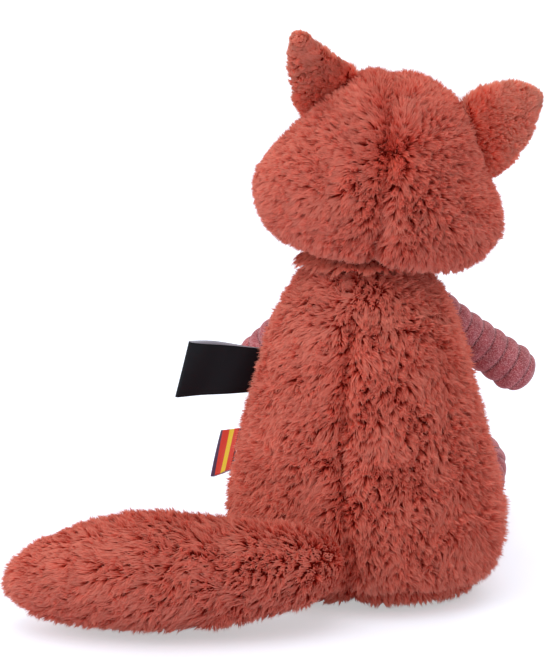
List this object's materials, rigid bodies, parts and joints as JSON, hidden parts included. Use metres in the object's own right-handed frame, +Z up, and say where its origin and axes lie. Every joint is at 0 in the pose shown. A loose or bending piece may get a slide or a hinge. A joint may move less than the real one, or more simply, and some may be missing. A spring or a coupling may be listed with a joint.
{
  "type": "plush raccoon",
  "caption": "Seated stuffed raccoon of long-pile plush with ribbed velour limbs; head, ears, arms, legs and tail move at their seams.",
  "frame": {"origin": "middle of the flat base that the toy sits on", "axes": "+Z up, the face looks along -Y, the toy's own left side is +X"},
  "size_m": [0.2689, 0.2894, 0.3029],
  "materials": {
    "long_pile_plush": "long soft terracotta pile",
    "ribbed_velour": "wide-ribbed velour, dusty rose",
    "mask_velour": "short matt pile",
    "short_pile": "short cream pile",
    "stuffing": "loose fibre",
    "pellet_bag": "plain woven bag of pellets",
    "woven_label": "black woven tape",
    "striped_ribbon": "striped woven ribbon",
    "nose_plastic": "glossy",
    "eye_plastic": "glossy",
    "washer_plastic": "plain moulded"
  },
  "bodies": {
    "torso": {"torso_back_left": "long_pile_plush", "torso_back_right": "long_pile_plush", "torso_front_left": "long_pile_plush", "torso_front_right": "long_pile_plush", "belly_panel": "ribbed_velour", "base_panel": "long_pile_plush", "torso_stuffing": "stuffing", "pellet_bag": "pellet_bag"},
    "neck": {"neck_ring": "long_pile_plush"},
    "head": {"head_back_left": "long_pile_plush", "head_back_right": "long_pile_plush", "face_panel": "long_pile_plush", "mask_left": "mask_velour", "mask_right": "mask_velour", "muzzle": "short_pile", "nose": "nose_plastic", "head_stuffing": "stuffing", "eye_left": "eye_plastic", "eye_right": "eye_plastic", "eye_washer_left": "washer_plastic", "eye_washer_right": "washer_plastic"},
    "ear_left": {"ear_fur_left": "long_pile_plush", "ear_lining_left": "ribbed_velour"},
    "ear_right": {"ear_fur_right": "long_pile_plush", "ear_lining_right": "ribbed_velour"},
    "arm_left": {"arm_cover_left": "ribbed_velour", "arm_stuffing_left": "stuffing"},
    "arm_right": {"arm_cover_right": "ribbed_velour", "arm_stuffing_right": "stuffing"},
    "leg_left": {"leg_cover_left": "ribbed_velour", "leg_stuffing_left": "stuffing"},
    "leg_right": {"leg_cover_right": "ribbed_velour", "leg_stuffing_right": "stuffing"},
    "tail": {"tail_fur": "long_pile_plush", "tail_stuffing": "stuffing"},
    "care_label": {"care_label": "woven_label"},
    "ribbon_tag": {"ribbon_tag": "striped_ribbon"}
  },
  "joints": [
    {"name": "head_turn", "type": "hinge", "parent": "torso", "child": "neck", "pos_m": [0, 0, 0.15], "axis": [0, 0, 1], "range_deg": [-30, 30], "stiffness_Nm_per_rad": 0.3},
    {"name": "head_nod", "type": "hinge", "parent": "neck", "child": "head", "pos_m": [0, 0, 0.15], "axis": [0.9925, 0.1219, 0], "range_deg": [-10, 12], "stiffness_Nm_per_rad": 0.3},
    {"name": "ear_left_fold", "type": "hinge", "parent": "head", "child": "ear_left", "pos_m": [0.01912, 0.00638, 0.27017], "axis": [0.7393, -0.1497, -0.6566], "range_deg": [-10, 8], "stiffness_Nm_per_rad": 0.01},
    {"name": "ear_right_fold", "type": "hinge", "parent": "head", "child": "ear_right", "pos_m": [-0.0572, -0.00299, 0.24565], "axis": [0.2185, 0.2644, 0.9393], "range_deg": [-10, 8], "stiffness_Nm_per_rad": 0.01},
    {"name": "shoulder_left", "type": "hinge", "parent": "torso", "child": "arm_left", "pos_m": [0.03455, -0.04776, 0.145], "axis": [1, 0, 0], "range_deg": [-60, 4], "stiffness_Nm_per_rad": 0.05},
    {"name": "shoulder_right", "type": "hinge", "parent": "torso", "child": "arm_right", "pos_m": [-0.03455, -0.04776, 0.145], "axis": [1, 0, 0], "range_deg": [-60, 4], "stiffness_Nm_per_rad": 0.05},
    {"name": "hip_left", "type": "hinge", "parent": "torso", "child": "leg_left", "pos_m": [0.0475, -0.062, 0.024], "axis": [1, 0, 0], "range_deg": [-40, 15], "stiffness_Nm_per_rad": 0.1},
    {"name": "hip_right", "type": "hinge", "parent": "torso", "child": "leg_right", "pos_m": [-0.0475, -0.062, 0.024], "axis": [1, 0, 0], "range_deg": [-40, 15], "stiffness_Nm_per_rad": 0.1},
    {"name": "tail_swing", "type": "hinge", "parent": "torso", "child": "tail", "pos_m": [0.02174, 0.07022, 0.035], "axis": [0, 0, 1], "range_deg": [-3, 90], "stiffness_Nm_per_rad": 0.1},
    {"name": "care_label_flap", "type": "hinge", "parent": "torso", "child": "care_label", "pos_m": [0.05818, 0, 0.11927], "axis": [-0.2489, 0, 0.9685], "range_deg": [-25, 25], "stiffness_Nm_per_rad": 0.002},
    {"name": "ribbon_tag_flap", "type": "hinge", "parent": "torso", "child": "ribbon_tag", "pos_m": [0.06949, 0, 0.07523], "axis": [-0.209, 0, 0.9779], "range_deg": [-20, 40], "stiffness_Nm_per_rad": 0.002}
  ]
}
